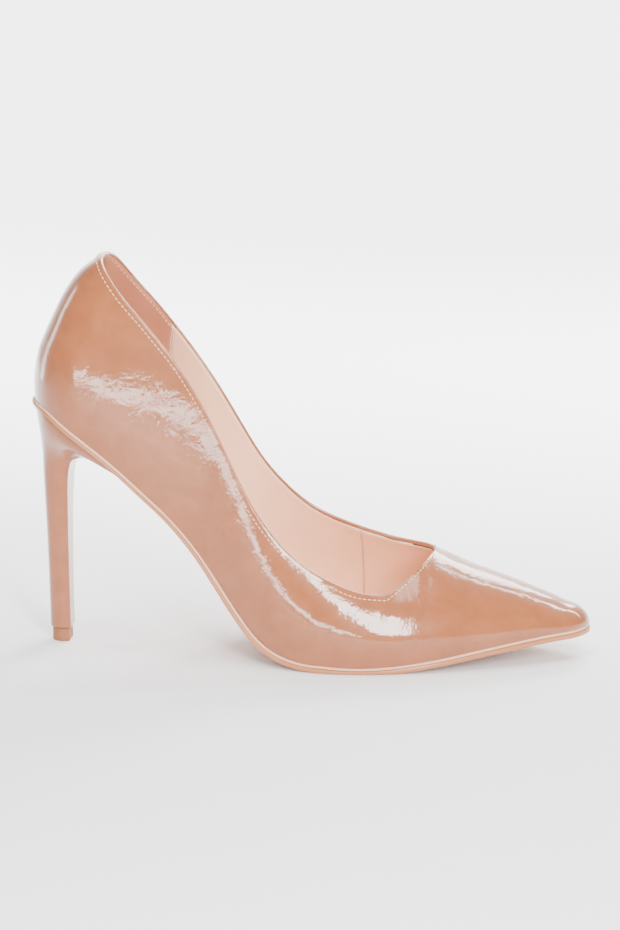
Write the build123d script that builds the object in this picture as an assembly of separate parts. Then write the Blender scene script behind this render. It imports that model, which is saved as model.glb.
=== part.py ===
from build123d import *

import os
from math import asin, cos, hypot, pi, sin, sqrt

# Pointed stiletto court shoe for the right foot, in millimetres.
# X runs from heel to toe, Y towards the inner side of the foot and Z up.
# The origin is the centre of the heel tip's tread, on the floor.

# Overall sizes
SHOE_LENGTH = 239.5  # back of the heel to the tip of the toe
SEAT_HEIGHT = 110.0  # feather line at the back of the heel, above the floor
BACK_HEIGHT = 61.7  # back of the upper, above the feather line
INSTEP_HEIGHT = 40.0  # top of the vamp at the throat, above the feather line
BALL_WIDTH = 76.0  # across the feather line at the ball
TOE_SPRING = 10.4  # lift of the feather line at the toe tip
HEEL_BACK_X = -9.0  # rearmost point of the upper
TOE_SWING = 4.0  # the vamp's ridge lies this far to the inner side
TOE_RADIUS = 9.0
NOSE_RADIUS = 8.0
HEEL_RADIUS = 24.5

# Upper
UPPER_THICKNESS = 1.1
BACKING_THICKNESS = 0.7
LINING_THICKNESS = 0.7
GLUE = 0.1  # glue line between two layers
FOLD_DEPTH = 1.2  # the folded edge, down from the topline
TAPE_WIDTH = 4.0
LASTING_MARGIN = 13.0
COUNTER_FRONT = 46.0
PUFF_REAR = 184.0
GRIP_FRONT = 53.0
VAMP_LINING_REAR = 128.0

# Bottom
INSOLE_THICKNESS = 1.6
SHANK_BOARD_THICKNESS = 2.6
SHANK_BOARD_FRONT = 92.0
SHANK_THICKNESS = 1.2
SHANK_WIDTH = 12.0
SHANK_REAR = 14.0
SHANK_FRONT = 90.0
SHANK_FIT = 0.1
PAD_THICKNESS = 1.2
PAD_LENGTH = 34.0
PAD_WIDTH = 30.0
PAD_TOE_GAP = 20.0  # the pad and the sock stop this far short of the toe's tip
SOCK_THICKNESS = 0.8
INSIDE_FIT = 0.4  # boards and sock to the lining
OUTSOLE_THICKNESS = 2.4
SEAT_THICKNESS = 1.5
OUTSOLE_LEDGE = 0.3
TREAD_DEPTH = 0.2  # the ball's rounding is ground flat by this much
BADGE_LENGTH = 12.0
BADGE_WIDTH = 9.0
BADGE_HEIGHT = 1.3
BADGE_X = 69.5
BADGE_Y = -13.0

# Heel
COVER_THICKNESS = 0.7
TIP_HEIGHT = 6.1
TIP_LENGTH = 8.2
TIP_WIDTH = 8.6
DOWEL_DIAMETER = 4.6
DOWEL_LENGTH = 70.0
PIN_DIAMETER = 2.9
PIN_BITE = 20.0
PIN_ROOT = 3.6
PIN_FIT = 0.05
SCREW_DIAMETER = 4.0
SCREW_LENGTH = 24.0
SCREW_X = 9.0
SCREW_HEAD = 8.0
NAIL_DIAMETER = 1.8
NAIL_LENGTH = 15.0
NAIL_CIRCLE = 11.0
RIVET_DIAMETER = 4.0

TIP_X = HEEL_BACK_X + SHOE_LENGTH
LEVEL = OUTSOLE_THICKNESS + UPPER_THICKNESS - TREAD_DEPTH
TOP = SEAT_HEIGHT + BACK_HEIGHT
LINED = UPPER_THICKNESS + BACKING_THICKNESS + LINING_THICKNESS + 2 * GLUE
INSIDE = LINED + INSIDE_FIT
BOARDS = INSOLE_THICKNESS + SHANK_BOARD_THICKNESS
FAR = 400.0  # beyond every part of the shoe

# Shares of the shoe's length, and of the height that each list names
PITCH = [  # feather line's rise, of the seat's height above the ball
    (0.0, 1.0), (0.038, 0.967), (0.079, 0.904), (0.121, 0.833), (0.163, 0.755), (0.205, 0.666),
    (0.271, 0.515), (0.313, 0.397), (0.347, 0.287), (0.38, 0.183), (0.413, 0.094), (0.447, 0.04),
    (0.489, 0.01), (0.539, 0.0), (1.0, 0.0),
]
SPRING = [  # feather line's lift, of the toe spring
    (0.0, 0.0), (0.539, 0.0), (0.597, 0.03), (0.664, 0.15), (0.731, 0.34), (0.797, 0.56),
    (0.864, 0.76), (0.931, 0.91), (1.0, 1.0),
]
ARCH = [  # height of the last over the feather line, of the instep height
    (0.0, 2.4), (0.14, 2.65), (0.25, 3.4), (0.35, 3.45), (0.455, 2.1), (0.54, 1.5), (0.643, 1.17),
    (0.72, 1.0), (0.79, 0.76), (0.86, 0.55), (0.928, 0.345), (0.962, 0.24), (1.0, 0.19),
]
OUTER_WIDTH = [  # ridge to the outer side, of the ball's width
    (0.0, 0.325), (0.12, 0.335), (0.2, 0.32), (0.27, 0.295), (0.32, 0.31), (0.36, 0.355),
    (0.41, 0.42), (0.46, 0.48), (0.5, 0.52), (0.55, 0.548), (0.6, 0.548), (0.664, 0.522),
    (0.731, 0.472), (0.797, 0.4), (0.864, 0.315), (0.931, 0.217), (1.0, 0.115),
]
INNER_WIDTH = [  # ridge to the inner side, of the ball's width
    (0.0, 0.325), (0.12, 0.335), (0.2, 0.305), (0.27, 0.255), (0.32, 0.245), (0.36, 0.255),
    (0.41, 0.3), (0.46, 0.36), (0.5, 0.405), (0.55, 0.445), (0.6, 0.45), (0.664, 0.42),
    (0.731, 0.366), (0.797, 0.3), (0.864, 0.234), (0.931, 0.155), (1.0, 0.085),
]
RIDGE = [(0.0, 0.0), (0.3, 0.0), (0.6, 0.9), (0.75, 1.0), (1.0, 0.8)]  # of the toe swing
BACK_CURVE = [  # lean of the back, and height over the feather line, of the back height
    (0.0, 0.0), (0.13, -0.003), (0.227, 0.01), (0.366, 0.046), (0.49, 0.105), (0.638, 0.175),
    (0.786, 0.26), (0.891, 0.345), (0.973, 0.45), (1.0, 0.505), (1.08, 0.66), (1.2, 0.9),
]
OUTER_TOPLINE = [  # place, rise over the feather line of the back height, of the instep height
    (0.165, 1.233, 0.0), (0.223, 1.185, 0.0), (0.286, 1.13, 0.0), (0.32, 1.085, 0.0),
    (0.36, 1.01, 0.0), (0.4, 0.905, 0.0), (0.442, 0.0, 1.245), (0.466, 0.0, 1.145),
    (0.498, 0.0, 1.035), (0.542, 0.0, 0.905), (0.594, 0.0, 0.79), (0.643, 0.0, 0.74),
]
INNER_TOPLINE = [
    (0.165, 1.25, 0.0), (0.223, 1.21, 0.0), (0.286, 1.165, 0.0), (0.325, 1.14, 0.0),
    (0.36, 1.1, 0.0), (0.4, 1.03, 0.0), (0.442, 0.0, 1.51), (0.475, 0.0, 1.4),
    (0.51, 0.0, 1.305), (0.542, 0.0, 1.235), (0.575, 0.0, 1.19), (0.643, 0.0, 1.085),
]
THROAT = 0.7215  # place of the throat's point on the ridge
BULGE = 0.7  # how far the last swells over the feather line
INSET_RISE = 1.1  # how much faster than the sides the inside's ridge comes down


def along(share):
    """X of a place given as a share of the shoe's length."""
    return HEEL_BACK_X + share * SHOE_LENGTH


def smooth(points):
    """Function through the points, with no corner at any of them."""
    steps = list(zip(points, points[1:]))
    rates = [(b[1] - a[1]) / (b[0] - a[0]) for a, b in steps]
    middle = []
    for i in range(1, len(rates)):
        before = points[i][0] - points[i - 1][0]
        after = points[i + 1][0] - points[i][0]
        middle.append((rates[i - 1] * after + rates[i] * before) / (before + after))
    slopes = [rates[0]] + middle + [rates[-1]]

    def value(x):
        if x <= points[0][0]:
            return points[0][1] + slopes[0] * (x - points[0][0])
        if x >= points[-1][0]:
            return points[-1][1] + slopes[-1] * (x - points[-1][0])
        i = max(k for k in range(len(steps)) if points[k][0] <= x)
        width = points[i + 1][0] - points[i][0]
        t = (x - points[i][0]) / width
        low = points[i][1] * (1 + 2 * t) + slopes[i] * width * t
        high = points[i + 1][1] * (3 - 2 * t) + slopes[i + 1] * width * (t - 1)
        return low * (1 - t) ** 2 + high * t**2

    return value


pitch, spring, arch = smooth(PITCH), smooth(SPRING), smooth(ARCH)
outer_width, inner_width, ridge_share = smooth(OUTER_WIDTH), smooth(INNER_WIDTH), smooth(RIDGE)
back_lean = smooth(BACK_CURVE)


def place(x):
    return (x - HEEL_BACK_X) / SHOE_LENGTH


def feather(x):
    """Height of the feather line, where the upper meets the sole."""
    p = place(x)
    return LEVEL + pitch(p) * (SEAT_HEIGHT - LEVEL) + spring(p) * TOE_SPRING


def ridge(x):
    return ridge_share(place(x)) * TOE_SWING


def rounded(distance, radius):
    """1 away from an end of an outline, and a quarter circle down to 0 at it."""
    short = max(0.0, 1 - max(0.0, distance) / radius)
    return sqrt(1 - short**2)


def back_x(z, inset):
    """X of the shoe's back at a height, moved in by the inset."""
    up = max(0.0, (z - SEAT_HEIGHT) / BACK_HEIGHT)
    lean = (back_lean(up + 0.01) - back_lean(up)) / 0.01
    return HEEL_BACK_X + back_lean(up) * BACK_HEIGHT + inset * hypot(1, lean)


def last_height(x, inset):
    """Height of the last over the feather line."""
    nose = rounded(TIP_X - inset - x, NOSE_RADIUS - inset)
    return (arch(place(x)) * INSTEP_HEIGHT - INSET_RISE * inset) * nose


def half_width(x, over, inset, share, back):
    """Half width of the last on one side of its ridge, at a share of the last's height."""
    over = min(max(over, 0.0), 1.0)
    wall = sqrt(1 - over**2) + BULGE * over * (1 - over) ** 2
    heel = rounded(x - back, HEEL_RADIUS - inset)
    toe = rounded(TIP_X - inset - x, TOE_RADIUS - inset)
    return (share(place(x)) * BALL_WIDTH - inset) * wall * heel * toe


def topline(rows):
    """Height of one side's topline, from the back to the ridge's throat."""
    line = [(back_x(TOP, 0), TOP)]
    for share, rear, front in rows:
        x = along(share)
        line.append((x, feather(x) + rear * BACK_HEIGHT + front * INSTEP_HEIGHT))
    curve = smooth(line)
    corner = line[-1]
    x = along(THROAT)
    rise = (feather(x) + last_height(x, 0) - corner[1]) / (x - corner[0])
    return lambda x: curve(x) if x <= corner[0] else corner[1] + rise * (x - corner[0])


OUTER_SIDE = (-1, outer_width, topline(OUTER_TOPLINE))
INNER_SIDE = (1, inner_width, topline(INNER_TOPLINE))
SIDES = {"outer": OUTER_SIDE, "inner": INNER_SIDE}
TIP_END = 0.05  # the skins stop this far short of the toe's tip
CORNER = 0.643  # place of the outer side's throat corner
HEEL_PART = 48.0  # the wall's rear patches are this long
HEEL_REACH = 150.0  # the back's lean fades out over this length
RIB_POINTS = 12
ARCH_POINTS = 17
FLAT_TURN = 0.2  # least angle a rib turns through, which keeps its points evenly spaced
LEAST_STRIP = 0.5  # least depth of a strip along the topline


def wall_x(run, z, inset):
    """X on the wall at a height, for a place that is run in front of the back at the seat."""
    lean = back_x(z, inset) - HEEL_BACK_X - inset
    return HEEL_BACK_X + inset + run + lean * max(0.0, 1 - run / HEEL_REACH) ** 2


def wall_point(run, z, inset, side):
    hand, share, _ = side
    x = wall_x(run, z, inset)
    over = (z - feather(x)) / last_height(x, inset)
    back = x - run if run < HEEL_RADIUS else HEEL_BACK_X
    return Vector(x, ridge(x) + hand * half_width(x, over, inset, share, back), z)


def rise_of_normal(x, z, inset, side):
    """Upward share of the last's normal at a height: 0 on an upright wall, 1 on the ridge."""
    height = last_height(x, inset)
    over = min(1.0, max(0.0, (z - feather(x)) / height))
    return over / hypot(over, sqrt(1 - over**2) * height / (side[1](place(x)) * BALL_WIDTH))


def edge_height(run, inset, side, drop):
    """Height at which a rib of the wall meets the topline's cut, square to the last, lowered by drop."""
    low, high = feather(HEEL_BACK_X + run), TOP + 10
    for _ in range(30):
        z = (low + high) / 2
        x = wall_x(run, z, inset)
        slope = side[2](x + 0.5) - side[2](x - 0.5)
        up = rise_of_normal(x, z, inset, side) if run > HEEL_PART else 0.0
        if z < side[2](x) - inset * up - drop * hypot(1, slope) * sqrt(1 - up**2):
            low = z
        else:
            high = z
    x = wall_x(run, low, inset)
    return min(low, feather(x) + last_height(x, inset))


def skin(outer, inner):
    """Closed solid between two grids of points that have the same rows and columns."""
    faces = [Face.make_surface_from_array_of_points(grid, tol=0.01) for grid in (outer, inner)]
    far_edges = list(faces[1].edges())
    sides = []
    for edge in faces[0].edges():
        gaps = [(far @ 0.5 - edge @ 0.5).length + (far @ 0.1 - edge @ 0.1).length for far in far_edges]
        sides.append(Face.make_surface_from_curves(edge, far_edges[gaps.index(min(gaps))]))
    return Solid(Shell(faces + sides))


def between(start, end, count):
    return [start + (end - start) * i / count for i in range(count + 1)]


def runs(start, end):
    """Places along the wall from start to end, closer together round the heel."""
    heel = [HEEL_RADIUS * (1 - cos(pi / 2 * i / 10)) for i in range(11)]
    every = heel + between(HEEL_RADIUS, CORNER * SHOE_LENGTH, 22)[1:]
    every += between(CORNER * SHOE_LENGTH, THROAT * SHOE_LENGTH, 7)[1:]
    return [start] + [r for r in every if start + 0.2 < r < end - 1.0] + [end]


def wall_skin(side, outer, inner, start, end, drop=0.0, lower_drop=None):
    """Part of one side of the shoe, from the feather line or a lower topline up to the topline."""

    def grid(inset):
        rows = []
        for run in runs(start, end):
            top = edge_height(run, inset, side, drop)
            low = feather(wall_x(run, SEAT_HEIGHT, inset))
            if lower_drop is not None:
                low = min(edge_height(run, inset, side, lower_drop), top - LEAST_STRIP)
            x = wall_x(run, top, inset)
            turn = asin(min(1.0, max(FLAT_TURN, (top - low) / last_height(x, inset))))
            if lower_drop is not None:
                turn = FLAT_TURN
            steps = [sin(turn * j / RIB_POINTS) / sin(turn) for j in range(RIB_POINTS + 1)]
            rows.append([wall_point(run, low + (top - low) * step, inset, side) for step in steps])
        return rows

    return skin(grid(outer), grid(inner))


def vamp_skin(outer, inner, start, end):
    """Arch over the toes between two places along the shoe."""

    def grid(inset):
        rows = []
        front = min(HEEL_BACK_X + end, TIP_X - inset - TIP_END)
        span = front - HEEL_BACK_X - start
        turns = [sin(pi / 2 * i / 14) for i in range(15)] if front > TIP_X - inset - 1 else between(0, 1, 6)
        for t in turns:
            x = HEEL_BACK_X + start + span * t
            row = []
            for j in range(2 * ARCH_POINTS + 1):
                angle = pi / 2 * j / ARCH_POINTS
                hand, share = (-1, outer_width) if j <= ARCH_POINTS else (1, inner_width)
                over = min(1.0, sin(angle))
                y = ridge(x) + hand * half_width(x, over, inset, share, HEEL_BACK_X)
                row.append(Vector(x, y, feather(x) + over * last_height(x, inset)))
            rows.append(row)
        return rows

    return skin(grid(outer), grid(inner))


def sole_point(x, y, drop):
    """Point under the place x, y of the feather line's surface, square to it."""
    slope = feather(x + 0.5) - feather(x - 0.5)
    step = drop(x) if callable(drop) else drop
    return Vector(x + step * slope / hypot(1, slope), y, feather(x) - step / hypot(1, slope))


def sole_skin(edges, inset, upper_drop, lower_drop, start, end):
    """Sheet that follows the bottom between two edges, functions of x, from start to end."""
    back, tip = HEEL_BACK_X + inset, TIP_X - inset
    first, last_x = max(start, back + TIP_END), min(end, tip - TIP_END)
    heel = [back + HEEL_RADIUS * (1 - cos(pi / 2 * i / 6)) for i in range(1, 7)]
    toe = [tip - TOE_RADIUS * (1 - cos(pi / 2 * i / 4)) for i in range(4, 0, -1)]
    every = heel + between(HEEL_BACK_X + HEEL_RADIUS + 4, TIP_X - TOE_RADIUS - 4, 30) + toe
    xs = [first] + [x for x in every if first + 0.3 < x < last_x - 0.3] + [last_x]

    def grid(drop):
        rows = []
        for x in xs:
            low, high = edges[0](x), edges[1](x)
            rows.append([sole_point(x, low + (high - low) * j / 4, drop) for j in range(5)])
        return rows

    return skin(grid(upper_drop), grid(lower_drop))


def outline(inset):
    """Outer and inner edges of the feather line's outline, moved in by the inset."""
    back = HEEL_BACK_X + inset

    def edge(hand, share):
        return lambda x: ridge(x) + hand * half_width(x, 0, inset, share, back)

    return edge(-1, outer_width), edge(1, inner_width)


LEAST_GAP = 0.03  # share of the width left open between the two margins


def margin_edges():
    """Inner edges of the lasting margin, which closes up at the heel and the toe."""
    outer, inner = outline(0)

    def kept(edge):
        def inner_edge(x):
            half = edge(x) - ridge(x)
            return ridge(x) + half * max(LEAST_GAP, 1 - LASTING_MARGIN / abs(half))

        return inner_edge

    return kept(outer), kept(inner)


def outsole_drop(x):
    """Drop of the outsole's lower face: thin at the heel seat, full at the ball."""
    thin = rounded(along(0.42) - x, along(0.42) - along(0.05))
    return UPPER_THICKNESS + OUTSOLE_THICKNESS - (OUTSOLE_THICKNESS - SEAT_THICKNESS) * thin


def above_bottom(drop):
    """Everything above the bottom, lowered by drop."""
    low = [sole_point(along(s / 40), 0, drop) for s in range(-2, 43)]
    low = [(p.X, p.Z) for p in low]
    with BuildPart() as block:
        with BuildSketch(Plane.XZ):
            with BuildLine():
                curve = Spline(*low)
                Polyline(curve @ 1, (FAR, low[-1][1]), (FAR, FAR), (-FAR, FAR), (-FAR, low[0][1]), curve @ 0)
            make_face()
        extrude(amount=FAR / 2, both=True)
    return block.part


def on_seat(x, y, low, high, radius):
    """Round bar square to the bottom, between two heights over the feather line."""
    slope = feather(x + 0.5) - feather(x - 0.5)
    normal = Vector(-slope, 0, 1).normalized()
    foot = Vector(x, y, feather(x)) + normal * low
    bar = Plane(origin=foot, z_dir=normal) * Cylinder(
        radius, high - low, align=(Align.CENTER, Align.CENTER, Align.MIN)
    )
    return bar


# Heights of the inside layers over the feather line
SHANK_FLOOR = INSOLE_THICKNESS
SHANK_TOP = SHANK_FLOOR + SHANK_THICKNESS
PAD_FLOOR = BOARDS - PAD_THICKNESS
HEAD_TOP = PAD_FLOOR - GLUE
HEAD_THICKNESS = 1.1
NAIL_HEAD_THICKNESS = 0.8
OVERLAP = 0.2  # a shank runs this far into its head
RIVET_INSET = 8.0  # rivets from the shank's ends


def heel_screw(grow=0.0):
    head = on_seat(SCREW_X, 0, HEAD_TOP - HEAD_THICKNESS - grow, HEAD_TOP + grow, SCREW_HEAD / 2 + grow)
    low, high = HEAD_TOP - SCREW_LENGTH, HEAD_TOP - OVERLAP
    return head + on_seat(SCREW_X, 0, low, high, SCREW_DIAMETER / 2 + grow)


def heel_nails(grow=0.0):
    """Four nails around the screw."""
    nails = []
    reach = NAIL_CIRCLE * sqrt(0.5)
    for side in (-1, 1):
        for x in (SCREW_X - reach, SCREW_X + reach):
            y, low = side * reach, HEAD_TOP - NAIL_LENGTH
            under = HEAD_TOP - NAIL_HEAD_THICKNESS - grow
            head = on_seat(x, y, under, HEAD_TOP + grow, NAIL_DIAMETER + grow)
            body = on_seat(x, y, low, HEAD_TOP - OVERLAP, NAIL_DIAMETER / 2 + grow)
            nails.append(head + body)
    return nails


def shank_rivets(grow=0.0):
    places = (SHANK_REAR + RIVET_INSET, SHANK_FRONT - RIVET_INSET)
    return [on_seat(x, 0, GLUE - grow, HEAD_TOP, RIVET_DIAMETER / 2 + grow) for x in places]


def without(body, tools):
    for tool in tools:
        body = body - tool
    return body


def shank_strip(grow=0.0):
    """The steel shank's strip, or with grow the slot for it."""
    half = SHANK_WIDTH / 2 + grow
    edges = (lambda x: -half, lambda x: half)
    bottom = -SHANK_FLOOR + grow
    return sole_skin(edges, 0, -SHANK_TOP - grow, bottom, SHANK_REAR - grow, SHANK_FRONT + grow)


def heel_pad(grow=0.0):
    """Oval foam pad in the shank board, or with grow the tool that cuts its pocket."""
    middle = HEEL_BACK_X + LINED + 6 + PAD_LENGTH / 2

    def half(x):
        off = min(1.0, abs(x - middle) / (PAD_LENGTH / 2 + 0.01))
        return PAD_WIDTH / 2 * sqrt(1 - off**2)

    edges = (lambda x: -half(x), lambda x: half(x))
    return sole_skin(edges, 0, -BOARDS - grow, -PAD_FLOOR, middle - PAD_LENGTH / 2, middle + PAD_LENGTH / 2)


# Rows of the stem: share of its height, back x, front x, half width.
# Rows of the cup: lean, back z over the seat, front x from the back, front z over the seat,
# and half widths of the body and the breast as shares of the seat's half width.
NECK_DROP = 34.0
BREAST_SHARE = 0.93  # width of the stem's flat breast, of the stem's width
SEAT_PLACE = 0.12  # place where the heel seat is widest
CUP_LIFT = 0.4  # rise of the core's back under the cover, of the cover's thickness
STEM = [
    (-0.1, -4.5, 4.4, 4.6), (0.0, -4.5, 4.4, 4.6), (0.35, -4.7, 4.2, 4.9), (0.65, -5.1, 4.4, 5.6),
    (0.85, -5.6, 4.7, 6.6), (1.0, -5.9, 5.2, 8.0),
]
CUP = [
    (3.06, -25.0, 16.2, -27.0, 0.408, 0.361), (2.52, -18.0, 21.5, -24.5, 0.57, 0.491),
    (1.71, -12.0, 30.0, -25.5, 0.766, 0.687), (0.9, -6.0, 39.0, -30.5, 0.915, 0.844),
    (0.27, 0.0, 47.0, -34.0, 0.978, 0.915), (0.27, 6.0, 51.0, -30.0, 0.99, 0.935),
]


def d_section(back, front, width, breast):
    """Flat-fronted section of the heel in the plane through its back and front."""
    length = hypot(front[0] - back[0], front[1] - back[1])
    forward = Vector(front[0] - back[0], 0, front[1] - back[1]).normalized()
    across = Vector(0, 1, 0)
    start = Vector(back[0], 0, back[1])
    shape = [(1.0, -breast), (0.55, -width), (0.16, -0.74 * width), (0.0, 0.0)]
    shape += [(p, -q) for p, q in shape[-2::-1]]
    points = [start + forward * (p * length) + across * q for p, q in shape]
    curve = Edge.make_spline(points, parameters=[i / 6 for i in range(7)])
    return Wire([curve, Edge.make_line(points[-1], points[0])])


def heel_body(inset):
    """The heel from its tip joint to over the seat, moved in by the inset."""
    neck = SEAT_HEIGHT - NECK_DROP
    rings = []
    for share, back, front, width in STEM:
        z = TIP_HEIGHT + share * (neck - TIP_HEIGHT)
        row = (back + inset, z), (front - inset, z)
        rings.append(d_section(*row, width - inset, BREAST_SHARE * width - inset))
    seat = outer_width(SEAT_PLACE) * BALL_WIDTH
    for lean, back_z, front, front_z, width, breast in CUP:
        row = (
            (HEEL_BACK_X + lean + inset, SEAT_HEIGHT + back_z + inset * CUP_LIFT),
            (HEEL_BACK_X + front - inset, SEAT_HEIGHT + front_z + inset),
        )
        rings.append(d_section(*row, seat * width - inset, seat * breast - inset))
    body = Solid.make_loft(rings, ruled=True)
    body = body & Pos(0, 0, TIP_HEIGHT + FAR / 2) * Box(FAR, FAR, FAR)
    return body - above_bottom(outsole_drop)


def dowel_bar(radius, low, high):
    return Pos(0, 0, low) * Cylinder(radius, high - low, align=(Align.CENTER, Align.CENTER, Align.MIN))


def heel_tip():
    ends = ((-TIP_LENGTH / 2, 0.0), (TIP_LENGTH / 2, 0.0))
    foot = Face(d_section(*ends, TIP_WIDTH / 2, BREAST_SHARE * TIP_WIDTH / 2))
    block = extrude(foot, TIP_HEIGHT, dir=(0, 0, 1))
    return block - dowel_bar(PIN_DIAMETER / 2, TIP_HEIGHT - PIN_ROOT, TIP_HEIGHT)


def sole_badge():
    """Domed oval plate on the outsole's lower face at the waist."""
    drop = outsole_drop(BADGE_X)
    slope = feather(BADGE_X + 0.5) - feather(BADGE_X - 0.5)
    normal = Vector(slope, 0, -1).normalized()
    foot = Vector(BADGE_X, BADGE_Y, feather(BADGE_X)) + normal * drop
    plane = Plane(origin=foot, x_dir=Vector(1, 0, slope).normalized(), z_dir=normal)
    with BuildPart() as plate:
        with BuildSketch(plane.offset(-0.6)):
            Ellipse(BADGE_LENGTH / 2, BADGE_WIDTH / 2)
        extrude(amount=0.6 + BADGE_HEIGHT)
        top = plate.faces().sort_by(Axis(plane.origin, plane.z_dir))[-1]
        fillet(top.edges(), 0.8 * BADGE_HEIGHT)
    return plate.part - sole_skin(outline(-OUTSOLE_LEDGE), -OUTSOLE_LEDGE, -1, outsole_drop, 0, along(0.5))


def build():
    """Every piece of the shoe, by name."""
    throat, tip = THROAT * SHOE_LENGTH, SHOE_LENGTH
    nodes = {}

    backing = UPPER_THICKNESS + GLUE, UPPER_THICKNESS + GLUE + BACKING_THICKNESS
    lining = LINED - LINING_THICKNESS, LINED
    under_fold = FOLD_DEPTH + GLUE
    under_tape = under_fold + TAPE_WIDTH + GLUE

    def walls(layer, start, end, drop=0.0, lower_drop=None, sides=(OUTER_SIDE, INNER_SIDE)):
        breaks = [start] + [r for r in (HEEL_PART, CORNER * SHOE_LENGTH) if start + 3 < r < end - 3] + [end]
        spans = list(zip(breaks, breaks[1:]))
        return [wall_skin(side, *layer, *span, drop, lower_drop) for side in sides for span in spans]

    margin_outer, margin_inner = margin_edges()
    edge_outer, edge_inner = outline(0)
    margins = [(edge_outer, margin_outer), (margin_inner, edge_inner)]
    skins = walls((0, UPPER_THICKNESS), 0, throat) + [vamp_skin(0, UPPER_THICKNESS, throat, tip)]
    nodes["upper"] = skins
    nodes["lasting_margin"] = [sole_skin(pair, 0, GLUE, UPPER_THICKNESS, -FAR, FAR) for pair in margins]
    nodes["topline_fold"] = walls((backing[0], LINED - GLUE), 0, throat, 0, FOLD_DEPTH)
    nodes["topline_tape"] = walls(backing, 0, throat - 12, under_fold, under_fold + TAPE_WIDTH)
    nodes["heel_counter"] = walls(backing, 0, COUNTER_FRONT, under_tape)
    puff = PUFF_REAR - HEEL_BACK_X
    sheet = walls(backing, COUNTER_FRONT + GLUE, throat, under_tape)
    nodes["interlining"] = sheet + [vamp_skin(*backing, throat + GLUE, puff)]
    nodes["toe_puff"] = [vamp_skin(*backing, puff + GLUE, tip)]

    top = FOLD_DEPTH + GLUE
    nodes["heel_grip_lining"] = walls(lining, 0, GRIP_FRONT, top)
    rear = VAMP_LINING_REAR - HEEL_BACK_X
    for name, side in SIDES.items():
        nodes[f"quarter_lining_{name}"] = walls(lining, GRIP_FRONT + GLUE, rear, top, None, [side])
    nodes["vamp_lining"] = walls(lining, rear + GLUE, throat, top) + [vamp_skin(*lining, throat + GLUE, tip)]

    fasteners = [heel_screw(PIN_FIT)] + heel_nails(PIN_FIT)
    rivets = shank_rivets()
    board = outline(INSIDE)
    pierced = fasteners + shank_rivets(PIN_FIT)
    insole = sole_skin(board, INSIDE, -INSOLE_THICKNESS, 0, -FAR, FAR)
    nodes["insole_board"] = [without(insole, pierced)]
    rear_board = sole_skin(board, INSIDE, -BOARDS, -INSOLE_THICKNESS - GLUE, -FAR, SHANK_BOARD_FRONT)
    cuts = [heel_pad(0.5), shank_strip(SHANK_FIT)]
    nodes["shank_board"] = [without(rear_board, cuts + pierced)]
    nodes["steel_shank"] = [without(shank_strip(), shank_rivets(PIN_FIT))]
    nodes["shank_rivets"] = rivets
    nodes["heel_pad"] = [heel_pad()]
    front = SHANK_BOARD_FRONT + GLUE
    end = TIP_X - PAD_TOE_GAP
    nodes["forefoot_pad"] = [sole_skin(board, INSIDE, -BOARDS, -INSOLE_THICKNESS - GLUE, front, end)]
    nodes["sock"] = [sole_skin(board, INSIDE, -BOARDS - SOCK_THICKNESS, -BOARDS - GLUE, -FAR, end)]

    gap = 1.5 * GLUE
    filler = (lambda x: margin_outer(x) + gap, lambda x: margin_inner(x) - gap)
    back_end, toe_end = HEEL_BACK_X + LASTING_MARGIN + 1, TIP_X - 2.2 * LASTING_MARGIN
    seat = sole_skin(filler, 0, GLUE, UPPER_THICKNESS, back_end, SHANK_BOARD_FRONT)
    nodes["seat_filler"] = [without(seat, fasteners)]
    nodes["bottom_filler"] = [sole_skin(filler, 0, GLUE, UPPER_THICKNESS, front, toe_end)]
    sole = sole_skin(outline(-OUTSOLE_LEDGE), -OUTSOLE_LEDGE, UPPER_THICKNESS + GLUE, outsole_drop, -FAR, FAR)
    floor = Pos(0, 0, FAR / 2) * Box(FAR * 3, FAR, FAR)
    nodes["outsole"] = [without(sole & floor, fasteners)]
    nodes["sole_badge"] = [sole_badge()]

    outer, inner = heel_body(0), heel_body(COVER_THICKNESS)
    nodes["heel_cover"] = [outer - inner]
    bore = dowel_bar(DOWEL_DIAMETER / 2, 0, TIP_HEIGHT + DOWEL_LENGTH)
    nodes["heel_core"] = [without(inner, [bore] + fasteners)]
    tube = dowel_bar(DOWEL_DIAMETER / 2, TIP_HEIGHT, TIP_HEIGHT + DOWEL_LENGTH)
    nodes["heel_dowel"] = [tube - dowel_bar(PIN_DIAMETER / 2 + PIN_FIT, 0, TIP_HEIGHT + DOWEL_LENGTH)]
    nodes["heel_tip"] = [heel_tip()]
    nodes["heel_tip_pin"] = [dowel_bar(PIN_DIAMETER / 2, TIP_HEIGHT - PIN_ROOT, TIP_HEIGHT + PIN_BITE)]
    nodes["heel_screw"] = [heel_screw()]
    nodes["heel_nails"] = heel_nails()
    return nodes


os.makedirs("parts", exist_ok=True)
for name, pieces in build().items():
    solids = [solid for piece in pieces for solid in piece.solids()]
    export_step(solids[0] if len(solids) == 1 else Compound(children=solids), f"parts/{name}.step")
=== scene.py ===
from math import asin, cos, hypot, pi, radians, sin, sqrt

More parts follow.
